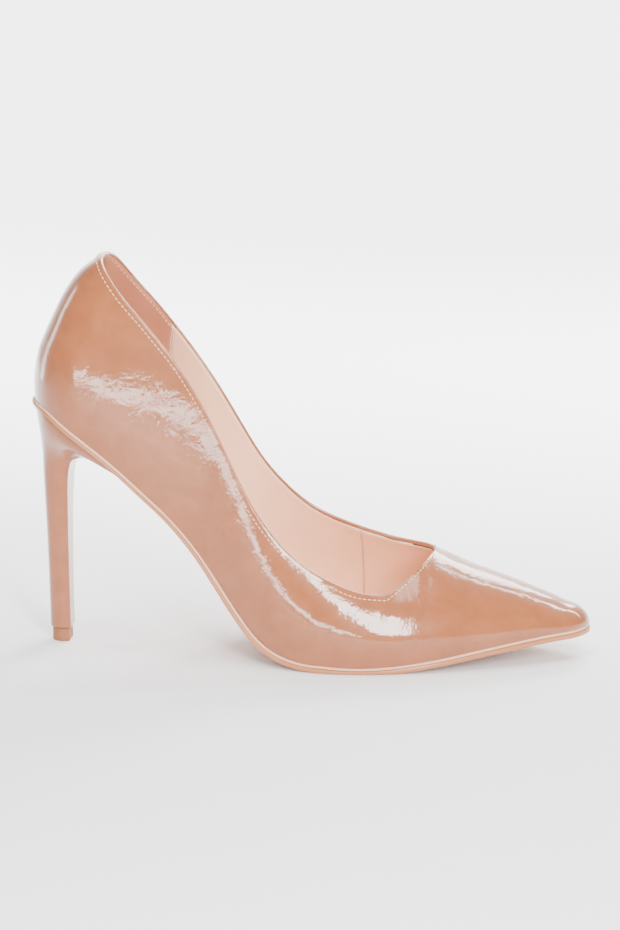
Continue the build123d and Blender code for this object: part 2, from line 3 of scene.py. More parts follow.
import bmesh
import bpy
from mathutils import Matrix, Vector


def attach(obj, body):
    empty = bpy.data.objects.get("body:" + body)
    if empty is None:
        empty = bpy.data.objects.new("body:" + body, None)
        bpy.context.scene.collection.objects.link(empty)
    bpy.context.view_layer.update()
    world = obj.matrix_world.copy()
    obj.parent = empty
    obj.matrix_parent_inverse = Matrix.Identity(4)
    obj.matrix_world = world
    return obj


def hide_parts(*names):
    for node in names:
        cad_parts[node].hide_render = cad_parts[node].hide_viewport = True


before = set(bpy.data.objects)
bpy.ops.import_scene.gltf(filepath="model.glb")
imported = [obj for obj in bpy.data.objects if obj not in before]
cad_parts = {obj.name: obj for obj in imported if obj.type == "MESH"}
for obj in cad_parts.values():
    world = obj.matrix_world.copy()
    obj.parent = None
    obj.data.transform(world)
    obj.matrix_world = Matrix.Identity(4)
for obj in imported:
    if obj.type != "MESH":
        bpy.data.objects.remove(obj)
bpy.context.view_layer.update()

# ---- Sock: the leather footbed, cut to the last's outline and glued over the insole.
# The shoe's profile and outline are those of the last that every skin is pulled over,
# in millimetres, with shares of the shoe's length from the heel.
MM = 0.001
LENGTH, SEAT, BACK, INSTEP, BALL = 239.5, 110.0, 61.7, 40.0, 76.0
SPRING, REAR, LEVEL, SWING = 10.4, -9.0, 3.3, 4.0
HEEL_ROUND, TOE_ROUND, NOSE_ROUND = 24.5, 9.0, 8.0
TIP = REAR + LENGTH
PITCH_LINE = [
    (0.0, 1.0), (0.038, 0.967), (0.079, 0.904), (0.121, 0.833), (0.163, 0.755), (0.205, 0.666),
    (0.271, 0.515), (0.313, 0.397), (0.347, 0.287), (0.38, 0.183), (0.413, 0.094), (0.447, 0.04),
    (0.489, 0.01), (0.539, 0.0), (1.0, 0.0),
]
SPRING_LINE = [
    (0.0, 0.0), (0.539, 0.0), (0.597, 0.03), (0.664, 0.15), (0.731, 0.34), (0.797, 0.56),
    (0.864, 0.76), (0.931, 0.91), (1.0, 1.0),
]
OUTER_LINE = [
    (0.0, 0.325), (0.12, 0.335), (0.2, 0.32), (0.27, 0.295), (0.32, 0.31), (0.36, 0.355),
    (0.41, 0.42), (0.46, 0.48), (0.5, 0.52), (0.55, 0.548), (0.6, 0.548), (0.664, 0.522),
    (0.731, 0.472), (0.797, 0.4), (0.864, 0.315), (0.931, 0.217), (1.0, 0.115),
]
INNER_LINE = [
    (0.0, 0.325), (0.12, 0.335), (0.2, 0.305), (0.27, 0.255), (0.32, 0.245), (0.36, 0.255),
    (0.41, 0.3), (0.46, 0.36), (0.5, 0.405), (0.55, 0.445), (0.6, 0.45), (0.664, 0.42),
    (0.731, 0.366), (0.797, 0.3), (0.864, 0.234), (0.931, 0.155), (1.0, 0.085),
]
RIDGE_LINE = [(0.0, 0.0), (0.3, 0.0), (0.6, 0.9), (0.75, 1.0), (1.0, 0.8)]


def smooth(points):
    """Function through the points, with no corner at any of them."""
    steps = list(zip(points, points[1:]))
    rates = [(b[1] - a[1]) / (b[0] - a[0]) for a, b in steps]
    middle = []
    for i in range(1, len(rates)):
        before = points[i][0] - points[i - 1][0]
        after = points[i + 1][0] - points[i][0]
        middle.append((rates[i - 1] * after + rates[i] * before) / (before + after))
    slopes = [rates[0]] + middle + [rates[-1]]

    def value(x):
        if x <= points[0][0]:
            return points[0][1] + slopes[0] * (x - points[0][0])
        if x >= points[-1][0]:
            return points[-1][1] + slopes[-1] * (x - points[-1][0])
        i = max(k for k in range(len(steps)) if points[k][0] <= x)
        width = points[i + 1][0] - points[i][0]
        t = (x - points[i][0]) / width
        low = points[i][1] * (1 + 2 * t) + slopes[i] * width * t
        high = points[i + 1][1] * (3 - 2 * t) + slopes[i + 1] * width * (t - 1)
        return low * (1 - t) ** 2 + high * t**2

    return value


pitch, spring = smooth(PITCH_LINE), smooth(SPRING_LINE)
outer_line, inner_line, ridge_line = smooth(OUTER_LINE), smooth(INNER_LINE), smooth(RIDGE_LINE)


def share_at(x):
    return (x - REAR) / LENGTH


def feather(x):
    """Height of the feather line, where the upper turns under the insole."""
    return LEVEL + pitch(share_at(x)) * (SEAT - LEVEL) + spring(share_at(x)) * SPRING


def ridge(x):
    return ridge_line(share_at(x)) * SWING


def rounded(distance, radius):
    short = max(0.0, 1 - max(0.0, distance) / radius)
    return sqrt(1 - short**2)


def sole_half(x, inset, line):
    """Half width of the shoe's outline on one side of the ridge."""
    ends = rounded(x - REAR - inset, HEEL_ROUND - inset) * rounded(TIP - inset - x, TOE_ROUND - inset)
    return (line(share_at(x)) * BALL - inset) * ends


def under(x, y, drop):
    """Point square to the bottom under x, y."""
    slope = feather(x + 0.5) - feather(x - 0.5)
    return Vector((x + drop * slope / hypot(1, slope), y, feather(x) - drop / hypot(1, slope))) * MM


def ease(i, count):
    return (1 - cos(pi * i / count)) / 2


def new_piece(name, bm, material, body="root"):
    """Object from a bmesh, shaded smooth, riding on the shoe."""
    mesh = bpy.data.meshes.new(name)
    bm.to_mesh(mesh)
    bm.free()
    for face in mesh.polygons:
        face.use_smooth = True
    piece = bpy.data.objects.new(name, mesh)
    bpy.context.scene.collection.objects.link(piece)
    mesh.materials.append(material)
    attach(piece, body)
    return piece


def rounder(piece, levels):
    modifier = piece.modifiers.new("Smooth surface", "SUBSURF")
    modifier.levels = modifier.render_levels = levels
    return modifier


def thicken(piece, millimetres, offset):
    modifier = piece.modifiers.new("Wall", "SOLIDIFY")
    modifier.thickness = millimetres * MM
    modifier.offset = offset
    modifier.use_even_offset = True


def sheet_grid(columns, rows, place):
    """Grid of quads whose vertex i, j goes to place(i, j); its UV map counts millimetres."""
    bm = bmesh.new()
    bmesh.ops.create_grid(bm, x_segments=columns, y_segments=rows, size=1, calc_uvs=True)
    for vertex in bm.verts:
        i = round((vertex.co.x + 1) / 2 * columns)
        j = round((vertex.co.y + 1) / 2 * rows)
        vertex.co = place(i, j)
    return bm


def mixed_noise(name):
    """Group: fine grain and broad mottling for leathers, as a height and a mask."""
    group = bpy.data.node_groups.new(name, "ShaderNodeTree")
    group.interface.new_socket(name="Grain size", in_out="INPUT", socket_type="NodeSocketFloat")
    group.interface.new_socket(name="Mottle size", in_out="INPUT", socket_type="NodeSocketFloat")
    group.interface.new_socket(name="Height", in_out="OUTPUT", socket_type="NodeSocketFloat")
    group.interface.new_socket(name="Mottle", in_out="OUTPUT", socket_type="NodeSocketFloat")
    nodes, links = group.nodes, group.links
    entry, leave = nodes.new("NodeGroupInput"), nodes.new("NodeGroupOutput")
    place = nodes.new("ShaderNodeTexCoord")
    cells = nodes.new("ShaderNodeTexVoronoi")
    cells.feature = "DISTANCE_TO_EDGE"
    fine, broad = nodes.new("ShaderNodeTexNoise"), nodes.new("ShaderNodeTexNoise")
    fine.inputs["Detail"].default_value = 4
    broad.inputs["Detail"].default_value = 3
    both = nodes.new("ShaderNodeMath")
    both.operation = "MULTIPLY"
    for node in (cells, fine, broad):
        links.new(place.outputs["Object"], node.inputs["Vector"])
    links.new(entry.outputs["Grain size"], cells.inputs["Scale"])
    links.new(entry.outputs["Grain size"], fine.inputs["Scale"])
    links.new(entry.outputs["Mottle size"], broad.inputs["Scale"])
    links.new(cells.outputs["Distance"], both.inputs[0])
    links.new(fine.outputs["Fac"], both.inputs[1])
    links.new(both.outputs[0], leave.inputs["Height"])
    links.new(broad.outputs["Fac"], leave.inputs["Mottle"])
    return group


grain_group = mixed_noise("Leather grain")


def grained(name, dark, light, roughness, grain, mottle, bump, depth, coat=0.0):
    """Grained material: two close tones mottled together, with a fine bump."""
    material = bpy.data.materials.new(name)
    material.use_nodes = True
    nodes, links = material.node_tree.nodes, material.node_tree.links
    shader = nodes["Principled BSDF"]
    shader.inputs["Roughness"].default_value = roughness
    shader.inputs["Coat Weight"].default_value = coat
    shader.inputs["Coat Roughness"].default_value = 0.08
    skin = nodes.new("ShaderNodeGroup")
    skin.node_tree = grain_group
    skin.inputs["Grain size"].default_value = grain
    skin.inputs["Mottle size"].default_value = mottle
    tone = nodes.new("ShaderNodeMix")
    tone.data_type = "RGBA"
    tone.inputs["A"].default_value = (*dark, 1)
    tone.inputs["B"].default_value = (*light, 1)
    raised = nodes.new("ShaderNodeBump")
    raised.inputs["Strength"].default_value = bump
    raised.inputs["Distance"].default_value = depth
    links.new(skin.outputs["Mottle"], tone.inputs["Factor"])
    links.new(tone.outputs["Result"], shader.inputs["Base Color"])
    links.new(skin.outputs["Height"], raised.inputs["Height"])
    links.new(raised.outputs["Normal"], shader.inputs["Normal"])
    return material


lining_leather = grained(
    "Pink lining leather", (0.9, 0.53, 0.34), (0.95, 0.6, 0.4), 0.55, 1400, 60, 0.25, 0.0004
)
SOCK_LIFT, SOCK_INSET = 5.05, 2.75


def sock_spot(i, j):
    x = REAR + SOCK_INSET + 0.1 + (LENGTH - 2 * SOCK_INSET - 0.2) * ease(i, 60)
    across = -1 + 2 * ease(j, 14)
    line = outer_line if across < 0 else inner_line
    y = ridge(x) + across * sole_half(x, SOCK_INSET - 0.6, line)
    rim = max(0.0, abs(across) - 0.86) / 0.14
    return under(x, y, -SOCK_LIFT + 0.25 * rim**2)


sock = new_piece("sock", sheet_grid(60, 14, sock_spot), lining_leather)
thicken(sock, 0.7, -1)
rounder(sock, 1)
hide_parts("sock")

# ---- Linings: goatskin pasted inside the upper, in a vamp piece and two quarters, with a
# napped heel grip around the back. Each is cut to the topline and stops a little above the insole.
ARCH_LINE = [
    (0.0, 2.4), (0.14, 2.65), (0.25, 3.4), (0.35, 3.45), (0.455, 2.1), (0.54, 1.5), (0.643, 1.17),
    (0.72, 1.0), (0.79, 0.76), (0.86, 0.55), (0.928, 0.345), (0.962, 0.24), (1.0, 0.19),
]
BACK_LINE = [
    (0.0, 0.0), (0.13, -0.003), (0.227, 0.01), (0.366, 0.046), (0.49, 0.105), (0.638, 0.175),
    (0.786, 0.26), (0.891, 0.345), (0.973, 0.45), (1.0, 0.505), (1.08, 0.66), (1.2, 0.9),
]
OUTER_TOPLINE = [
    (0.165, 1.233, 0.0), (0.223, 1.185, 0.0), (0.286, 1.13, 0.0), (0.32, 1.085, 0.0),
    (0.36, 1.01, 0.0), (0.4, 0.905, 0.0), (0.442, 0.0, 1.245), (0.466, 0.0, 1.145),
    (0.498, 0.0, 1.035), (0.542, 0.0, 0.905), (0.594, 0.0, 0.79), (0.643, 0.0, 0.74),
]
INNER_TOPLINE = [
    (0.165, 1.25, 0.0), (0.223, 1.21, 0.0), (0.286, 1.165, 0.0), (0.325, 1.14, 0.0),
    (0.36, 1.1, 0.0), (0.4, 1.03, 0.0), (0.442, 0.0, 1.51), (0.475, 0.0, 1.4),
    (0.51, 0.0, 1.305), (0.542, 0.0, 1.235), (0.575, 0.0, 1.19), (0.643, 0.0, 1.085),
]
THROAT, CORNER = 0.7215, 0.643
LEAN_REACH = 150.0  # the back's lean fades out over this length
BULGE, INSET_RISE = 0.7, 1.1  # swell over the feather line; how much faster the ridge comes down
HEEL_PART, HALVINGS = 48.0, 26  # length of the heel's upright walls; steps of a search by halves
arch, back_lean = smooth(ARCH_LINE), smooth(BACK_LINE)


def back_x(z, inset):
    up = max(0.0, (z - SEAT) / BACK)
    lean = (back_lean(up + 0.01) - back_lean(up)) / 0.01
    return REAR + back_lean(up) * BACK + inset * hypot(1, lean)


def last_height(x, inset):
    nose = rounded(TIP - inset - x, NOSE_ROUND - inset)
    return (arch(share_at(x)) * INSTEP - INSET_RISE * inset) * nose


def topline(rows):
    """Height of one side's topline from the back to the throat's point."""
    line = [(back_x(SEAT + BACK, 0), SEAT + BACK)]
    for share, rear, front in rows:
        x = REAR + share * LENGTH
        line.append((x, feather(x) + rear * BACK + front * INSTEP))
    curve = smooth(line)
    corner = line[-1]
    x = REAR + THROAT * LENGTH
    rise = (feather(x) + last_height(x, 0) - corner[1]) / (x - corner[0])
    return lambda x: curve(x) if x <= corner[0] else corner[1] + rise * (x - corner[0])


SIDES = {
    "outer": (-1, outer_line, topline(OUTER_TOPLINE)),
    "inner": (1, inner_line, topline(INNER_TOPLINE)),
}


def wall_x(run, z, inset):
    lean = back_x(z, inset) - REAR - inset
    return REAR + inset + run + lean * max(0.0, 1 - run / LEAN_REACH) ** 2


def half_width(x, over, inset, line, back):
    over = min(max(over, 0.0), 1.0)
    wall = sqrt(1 - over**2) + BULGE * over * (1 - over) ** 2
    ends = rounded(x - back, HEEL_ROUND - inset) * rounded(TIP - inset - x, TOE_ROUND - inset)
    return (line(share_at(x)) * BALL - inset) * wall * ends


def wall_spot(run, z, inset, side):
    """Point on one side's wall, a run in front of the back and at a height."""
    hand, line, _ = side
    x = wall_x(run, z, inset)
    over = (z - feather(x)) / last_height(x, inset)
    back = x - run if run < HEEL_ROUND else REAR
    return Vector((x, ridge(x) + hand * half_width(x, over, inset, line, back), z)) * MM


def rise_of_normal(x, z, inset, side):
    """Upward share of the skin's normal: 0 on an upright wall, 1 on the ridge."""
    height = last_height(x, inset)
    over = min(1.0, max(0.0, (z - feather(x)) / height))
    return over / hypot(over, sqrt(1 - over**2) * height / (side[1](share_at(x)) * BALL))


def edge_height(run, inset, side, drop):
    """Height where a rib of the wall meets the topline's cut, square to the skin."""
    low, high = feather(REAR + run), SEAT + BACK + 10
    for _ in range(HALVINGS):
        z = (low + high) / 2
        x = wall_x(run, z, inset)
        slope = side[2](x + 0.5) - side[2](x - 0.5)
        up = rise_of_normal(x, z, inset, side) if run > HEEL_PART else 0.0
        if z < side[2](x) - inset * up - drop * hypot(1, slope) * sqrt(1 - up**2):
            low = z
        else:
            high = z
    x = wall_x(run, low, inset)
    return min(low, feather(x) + last_height(x, inset))


def rib(run, inset, side, drop, start, count):
    """Points up one rib of the wall, from start above the feather line to the topline."""
    top = edge_height(run, inset, side, drop)
    low = feather(wall_x(run, SEAT, inset)) + start
    turn = asin(min(1.0, max(0.2, (top - low) / last_height(wall_x(run, top, inset), inset))))
    spots = []
    for j in range(count + 1):
        z = low + (top - low) * sin(turn * j / count) / sin(turn)
        spots.append(wall_spot(run, z, inset, side))
    return spots


def ring_shares(inset, drop, start, count):
    """Shares of the last's height of the rows where each wall's last rib ends."""
    run = THROAT * LENGTH
    x = wall_x(run, SEAT, inset)
    shares = []
    for side in SIDES.values():
        spots = rib(run, inset, side, drop, start, count)
        shares.append([(spot.z / MM - feather(x)) / last_height(x, inset) for spot in spots])
    return shares


def arch_ring(x, inset, start, shares):
    """Points over the toes at one place, from the outer feather line to the inner one."""
    spots = []
    height = last_height(x, inset)
    low = min(0.9, start / max(height, 0.1))
    rows = [(-1, outer_line, over) for over in shares[0]] + [(1, inner_line, 1.0)]
    rows += [(1, inner_line, over) for over in reversed(shares[1])]
    for hand, line, over in rows:
        over = low + (1 - low) * (over - shares[0][0]) / (1 - shares[0][0])
        y = ridge(x) + hand * half_width(x, over, inset, line, REAR)
        spots.append(Vector((x, y, feather(x) + over * height)) * MM)
    return spots


def wall_runs(start, end):
    """Places along a wall: close round the heel, and one at the throat's corner."""
    corner = CORNER * LENGTH
    heel = [HEEL_ROUND * (1 - cos(pi / 2 * i / 8)) for i in range(9)]
    waist = [HEEL_ROUND + (corner - HEEL_ROUND) * i / 20 for i in range(1, 21)]
    throat = [corner + (THROAT * LENGTH - corner) * i / 6 for i in range(1, 7)]
    return [start] + [r for r in heel + waist + throat if start + 0.4 < r < end - 0.4] + [end]


def join_sheets(sheets, gap=0.02):
    """One bmesh from several whose edges meet."""
    whole = bmesh.new()
    for sheet in sheets:
        mesh = bpy.data.meshes.new("part")
        sheet.to_mesh(mesh)
        sheet.free()
        whole.from_mesh(mesh)
        bpy.data.meshes.remove(mesh)
    bmesh.ops.remove_doubles(whole, verts=whole.verts, dist=gap * MM)
    return whole


def face_outwards(bm):
    """Faces of an open skin point away from the foot, going by one on the outer side's toe."""
    bmesh.ops.recalc_face_normals(bm, faces=bm.faces)
    toe_side = Vector((0.2, -0.02, 0.02))
    face = min(bm.faces, key=lambda f: (f.calc_center_median() - toe_side).length)
    if face.normal.dot(Vector((0, -1, 0.3))) <= 0:
        bmesh.ops.reverse_faces(bm, faces=bm.faces)


LINING_INSET, LINING_DROP, LINING_START = 2.05, 0.75, 3.2


def lining_sheet(side, start, end, inset=LINING_INSET):
    runs = wall_runs(start, end)
    ribs = [rib(run, inset, side, LINING_DROP, LINING_START, 12) for run in runs]
    return sheet_grid(len(runs) - 1, 12, lambda i, j: ribs[i][j])


def vamp_sheet(inset, drop, low, columns=24, count=12):
    start = wall_x(THROAT * LENGTH, SEAT, inset)
    reach = TIP - inset - 0.3 - start
    xs = [start + reach * sin(pi / 2 * i / columns) for i in range(columns + 1)]
    shares = ring_shares(inset, drop, low, count)
    rings = [arch_ring(x, inset, low, shares) for x in xs]
    return sheet_grid(columns, len(rings[0]) - 1, lambda i, j: rings[i][j])


def lining_piece(name, sheets, material):
    bm = join_sheets(sheets)
    bmesh.ops.recalc_face_normals(bm, faces=bm.faces)
    piece = new_piece(name, bm, material)
    thicken(piece, 0.6, 0)
    rounder(piece, 1)
    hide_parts(name)
    return piece


heel_suede = grained(
    "Napped heel grip", (0.46, 0.17, 0.085), (0.55, 0.22, 0.12), 0.85, 2600, 90, 0.5, 0.0005
)
GRIP, VAMP_SEAM = 53.0, 137.0
both_sides = [lining_sheet(side, 0, GRIP) for side in SIDES.values()]
lining_piece("heel_grip_lining", both_sides, heel_suede)
for name, side in SIDES.items():
    lining_piece(f"quarter_lining_{name}", [lining_sheet(side, GRIP + 0.15, VAMP_SEAM)], lining_leather)
front_sheets = [lining_sheet(side, VAMP_SEAM + 0.02, THROAT * LENGTH) for side in SIDES.values()]
front_sheets.append(vamp_sheet(LINING_INSET, LINING_DROP, LINING_START))
lining_piece("vamp_lining", front_sheets, lining_leather)

# ---- Upper: one whole-cut skin of nude patent leather, lasted over the toe and heel. Its
# topline edge is folded over a tape, and its lower edge turns under the insole.
patent = bpy.data.materials.new("Nude patent leather")
patent.use_nodes = True
nodes, links = patent.node_tree.nodes, patent.node_tree.links
shader = nodes["Principled BSDF"]
shader.inputs["Roughness"].default_value = 0.32
shader.inputs["Coat Weight"].default_value = 1.0
shader.inputs["Coat Roughness"].default_value = 0.03
shader.inputs["Specular IOR Level"].default_value = 0.15
where = nodes.new("ShaderNodeTexCoord")
creases = nodes.new("ShaderNodeTexNoise")
creases.inputs["Scale"].default_value = 110
creases.inputs["Detail"].default_value = 5
creases.inputs["Roughness"].default_value = 0.55
creases.inputs["Distortion"].default_value = 0.6
pores = nodes.new("ShaderNodeTexNoise")
pores.inputs["Scale"].default_value = 420
pores.inputs["Detail"].default_value = 2
swell = nodes.new("ShaderNodeBump")
swell.inputs["Strength"].default_value = 0.22
swell.inputs["Distance"].default_value = 0.0012
peel = nodes.new("ShaderNodeBump")
peel.inputs["Strength"].default_value = 0.1
peel.inputs["Distance"].default_value = 0.0002
tones = nodes.new("ShaderNodeValToRGB")
tones.color_ramp.elements[0].color = (0.3, 0.092, 0.032, 1)
tones.color_ramp.elements[1].color = (0.35, 0.112, 0.042, 1)
tones.color_ramp.elements[0].position = 0.35
tones.color_ramp.elements[1].position = 0.7
for texture in (creases, pores):
    links.new(where.outputs["Object"], texture.inputs["Vector"])
links.new(creases.outputs["Fac"], swell.inputs["Height"])
links.new(pores.outputs["Fac"], peel.inputs["Height"])
links.new(swell.outputs["Normal"], peel.inputs["Normal"])
links.new(peel.outputs["Normal"], shader.inputs["Normal"])
links.new(peel.outputs["Normal"], shader.inputs["Coat Normal"])
links.new(creases.outputs["Fac"], tones.inputs["Fac"])
links.new(tones.outputs["Color"], shader.inputs["Base Color"])

SKIN_INSET, WALL_ROWS, EDGE_ROW, WALL_FOOT = -0.12, 12, 0.9, 0.25
TUCK = [(5.0, -0.75), (1.2, -0.7), (0.25, -0.35)]  # inset and height of the turned-in rows
ROLL = [(0.0, 0.35), (0.45, 0.05), (1.0, 0.0), (1.5, 0.25), (1.72, 0.8), (1.78, 2.6)]


def upper_rib(run, side):
    """One rib of the upper: turned-in margin, wall, and the folded topline edge."""

    def low_spot(inset, height):
        x = wall_x(run, SEAT, SKIN_INSET)
        spot = wall_spot(run, feather(x), SKIN_INSET, side) / MM
        centre = REAR + HEEL_ROUND if run < HEEL_ROUND else x
        toward = Vector((centre, ridge(x), 0)) - Vector((spot.x, spot.y, 0))
        spot += toward.normalized() * inset
        return Vector((spot.x, spot.y, feather(spot.x) + height)) * MM

    wall = rib(run, SKIN_INSET, side, EDGE_ROW, WALL_FOOT, WALL_ROWS)
    fold = []
    for inset, drop in ROLL:
        drop = 0.0 if run == THROAT * LENGTH else drop
        z = edge_height(run, SKIN_INSET + inset, side, drop)
        fold.append(wall_spot(run, z, SKIN_INSET + inset, side))
    return [low_spot(inset, height) for inset, height in TUCK] + wall + fold


def upper_wall(side):
    runs = wall_runs(0, THROAT * LENGTH)
    ribs = [upper_rib(run, side) for run in runs]
    return sheet_grid(len(runs) - 1, len(ribs[0]) - 1, lambda i, j: ribs[i][j])


def upper_vamp():
    columns = 26
    start = wall_x(THROAT * LENGTH, SEAT, SKIN_INSET)
    reach = TIP - SKIN_INSET - 0.05 - start
    xs = [start + reach * sin(pi / 2 * i / columns) for i in range(columns + 1)]
    shares = ring_shares(SKIN_INSET, EDGE_ROW, WALL_FOOT, WALL_ROWS)
    rings = []
    for x in xs:

        def low_spot(inset, height, hand, line):
            y = ridge(x) + hand * max(0.1, half_width(x, 0, SKIN_INSET, line, REAR) - inset)
            return Vector((x, y, feather(x) + height)) * MM

        outer = [low_spot(inset, height, -1, outer_line) for inset, height in TUCK]
        inner = [low_spot(inset, height, 1, inner_line) for inset, height in TUCK]
        rings.append(outer + arch_ring(x, SKIN_INSET, WALL_FOOT, shares) + inner[::-1])
    return sheet_grid(columns, len(rings[0]) - 1, lambda i, j: rings[i][j])


skin_mesh = join_sheets([upper_wall(side) for side in SIDES.values()] + [upper_vamp()], 0.1)
face_outwards(skin_mesh)
upper = new_piece("upper", skin_mesh, patent)
thicken(upper, 0.3, -1)
rounder(upper, 2)
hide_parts("upper", "topline_fold")

# ---- Lockstitch: one row of pale thread around the topline, 2 mm under the folded edge,
# seen outside and inside. Each stitch is a short soft-ended length of thread.
thread = grained("Pale thread", (0.85, 0.46, 0.26), (0.95, 0.58, 0.36), 0.6, 3000, 400, 0.4, 0.0002)
STITCH, STITCH_DROP, LINE_STEPS = 2.1, 2.3, 399  # spacing, depth under the edge


def stitch_line(side, inset):
    """Evenly spaced places of the stitches along one side, with their directions."""
    spots = []
    for k in range(LINE_STEPS + 1):
        run = THROAT * LENGTH * k / LINE_STEPS
        spots.append(wall_spot(run, edge_height(run, inset, side, STITCH_DROP), inset, side))
    places, travelled, due = [], 0.0, STITCH / 2
    for a, b in zip(spots, spots[1:]):
        step = (b - a).length / MM
        while step > 0 and travelled + step > due:
            places.append((a.lerp(b, (due - travelled) / step), (b - a).normalized()))
            due += STITCH
        travelled += step
    return places


def stitch_row(name, inset):
    bm = bmesh.new()
    for side in SIDES.values():
        for spot, along in stitch_line(side, inset):
            made = bmesh.ops.create_uvsphere(bm, u_segments=8, v_segments=5, radius=0.5)
            turn = Vector((0, 0, 1)).rotation_difference(along).to_matrix()
            for vertex in made["verts"]:
                size = Vector((vertex.co.x * 0.5, vertex.co.y * 0.5, vertex.co.z * 1.6)) * MM
                vertex.co = spot + turn @ size
    return new_piece(name, bm, thread)


stitch_row("topline_stitches_outside", SKIN_INSET - 0.02)
stitch_row("topline_stitches_inside", LINING_INSET + 0.28)

# ---- Outsole: full-length leather sole cemented over the lasted upper, thin at the heel seat.
# Its cut edge is trimmed, rounded and waxed; its face is buffed and flat where it treads.
edge_wax = grained(
    "Waxed sole edge", (0.42, 0.14, 0.045), (0.5, 0.18, 0.065), 0.34, 900, 70, 0.15, 0.0003, 0.3
)
sole_leather = grained(
    "Buffed sole leather", (0.3, 0.11, 0.045), (0.4, 0.16, 0.07), 0.55, 1700, 45, 0.3, 0.0004
)
SOLE_TOP, SOLE_LEDGE = 1.2, 0.3


def sole_bottom(x):
    """Drop of the sole's lower face under the feather line."""
    rear, front = REAR + 0.05 * LENGTH, REAR + 0.42 * LENGTH
    return 3.5 - 0.9 * rounded(front - x, front - rear)


def ring_body(name, rings, material):
    """Closed body through rings of the same count, capped at both ends."""
    bm = bmesh.new()
    loops = [[bm.verts.new(spot) for spot in ring] for ring in rings]
    count = len(loops[0])
    for low, high in zip(loops, loops[1:]):
        for i in range(count):
            k = (i + 1) % count
            bm.faces.new((low[i], low[k], high[k], high[i]))
    bm.faces.new(loops[0][::-1])
    bm.faces.new(loops[-1])
    bmesh.ops.recalc_face_normals(bm, faces=bm.faces)
    return new_piece(name, bm, material)


def sole_ring(x):
    """Section of the sole: down the outer edge, across the bottom, up the inner edge and back."""
    outer = ridge(x) - sole_half(x, -SOLE_LEDGE, outer_line)
    inner = ridge(x) + sole_half(x, -SOLE_LEDGE, inner_line)
    low = sole_bottom(x)
    trim = min(0.45, (inner - outer) / 6)
    edge = [(0.0, SOLE_TOP), (0.0, SOLE_TOP + 0.2), (0.0, low - 0.5), (trim / 2, low - 0.1), (trim, low)]
    rows = [(outer + inset, drop) for inset, drop in edge]
    rows += [(outer + (inner - outer) * k / 8, low) for k in range(1, 8)]
    rows += [(inner - inset, drop) for inset, drop in reversed(edge)]
    rows += [(inner + (outer - inner) * k / 5, SOLE_TOP) for k in range(1, 5)]
    spots = [under(x, y, drop) for y, drop in rows]
    return [Vector((spot.x, spot.y, max(spot.z, 0.0))) for spot in spots]


sole_start, sole_end = REAR - SOLE_LEDGE + 0.06, TIP + SOLE_LEDGE - 0.06
sole_xs = [sole_start + (sole_end - sole_start) * ease(i, 76) for i in range(77)]
outsole = ring_body("outsole", [sole_ring(x) for x in sole_xs], edge_wax)
outsole.data.materials.append(sole_leather)
# The sole's upward-facing ledge round the upper's foot is painted near-black: painted shade where the
# upper meets the sole.
painted_shade_ledge = grained("Painted shade on sole ledge", (0.05, 0.016, 0.006), (0.08, 0.028, 0.012), 0.6, 900, 100, 0.3, 0.0002)
outsole.data.materials.append(painted_shade_ledge)
for face in outsole.data.polygons:
    if face.normal.z < -0.75:
        face.material_index = 1
    # Faces looking up get the painted shade.
    elif face.normal.z > 0.5:
        face.material_index = 2
rounder(outsole, 1)
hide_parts("outsole")


def dress(node, material):
    """Give a CAD node's object its finish."""
    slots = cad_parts[node].material_slots
    if not slots:
        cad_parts[node].data.materials.append(material)
    for slot in slots:
        slot.material = material


# ---- Heel: a moulded core wrapped in the same patent, pulled tight so that the breast's
# corners stay crisp. The cover runs up under the heel seat and is cut off at the sole.
STEM = [
    (-0.01, -4.5, 4.4, 4.6), (0.02, -4.5, 4.4, 4.6), (0.35, -4.7, 4.2, 4.9), (0.65, -5.1, 4.4, 5.6),
    (0.85, -5.6, 4.7, 6.6), (1.0, -5.9, 5.2, 8.0),
]  # share of the stem, back x, front x, half width
CUP = [
    (0.034, -25.0, 16.2, -27.0, 10.4, 9.2), (0.028, -18.0, 21.5, -24.5, 14.5, 12.5),
    (0.019, -12.0, 30.0, -25.5, 19.5, 17.5), (0.01, -6.0, 39.0, -30.5, 23.3, 21.5),
    (0.003, 0.0, 47.0, -34.0, 24.9, 23.3), (0.003, 6.0, 51.0, -30.0, 25.2, 23.8),
]  # lean, back z, front x, front z, half width, half width of the breast
TIP_HEIGHT, NECK, TIP_SEAM, BREAST_SHARE = 6.1, 76.0, 0.15, 0.93
BREAST_ROWS = (0.95, 0.6, 0.2, -0.2, -0.6, -0.95)  # across the flat breast, of its half width
CORNERS = [0.0, 0.06, 0.2, 0.5, 0.8, 1.1, 1.5, 1.9, 2.3, 2.65, 3.0]
CORNERS += [6 - t for t in CORNERS[-2::-1]]


def heel_ring(back, front, width, breast):
    """Flat-fronted section through a back point and a front point, corner to corner and back."""
    shape = [(1.0, -breast), (0.55, -width), (0.16, -0.74 * width), (0.0, 0.0)]
    shape += [(p, -q) for p, q in shape[-2::-1]]
    forward = smooth([(i, p) for i, (p, _) in enumerate(shape)])
    across = smooth([(i, q) for i, (_, q) in enumerate(shape)])
    spots = [(max(0.0, forward(t)), across(t)) for t in CORNERS]
    spots += [(1.0, breast * k) for k in BREAST_ROWS]
    reach = Vector(front) - Vector(back)
    return [Vector((back[0] + reach.x * p, q, back[1] + reach.y * p)) for p, q in spots]


stem_rings = []
for share, rear, front, width in STEM:
    z = TIP_HEIGHT + max(0.0, share) * (NECK - TIP_HEIGHT) + TIP_SEAM
    stem_rings.append(heel_ring((rear, z), (front, z), width, BREAST_SHARE * width))
LEAN_SPAN, CUP_ROWS = 90, 10
cup_rings = [stem_rings[-1]]
for lean, rear_z, front, front_z, width, breast in CUP:
    rear = (REAR + lean * LEAN_SPAN, SEAT + rear_z)
    cup_rings.append(heel_ring(rear, (REAR + front, SEAT + front_z), width, breast))


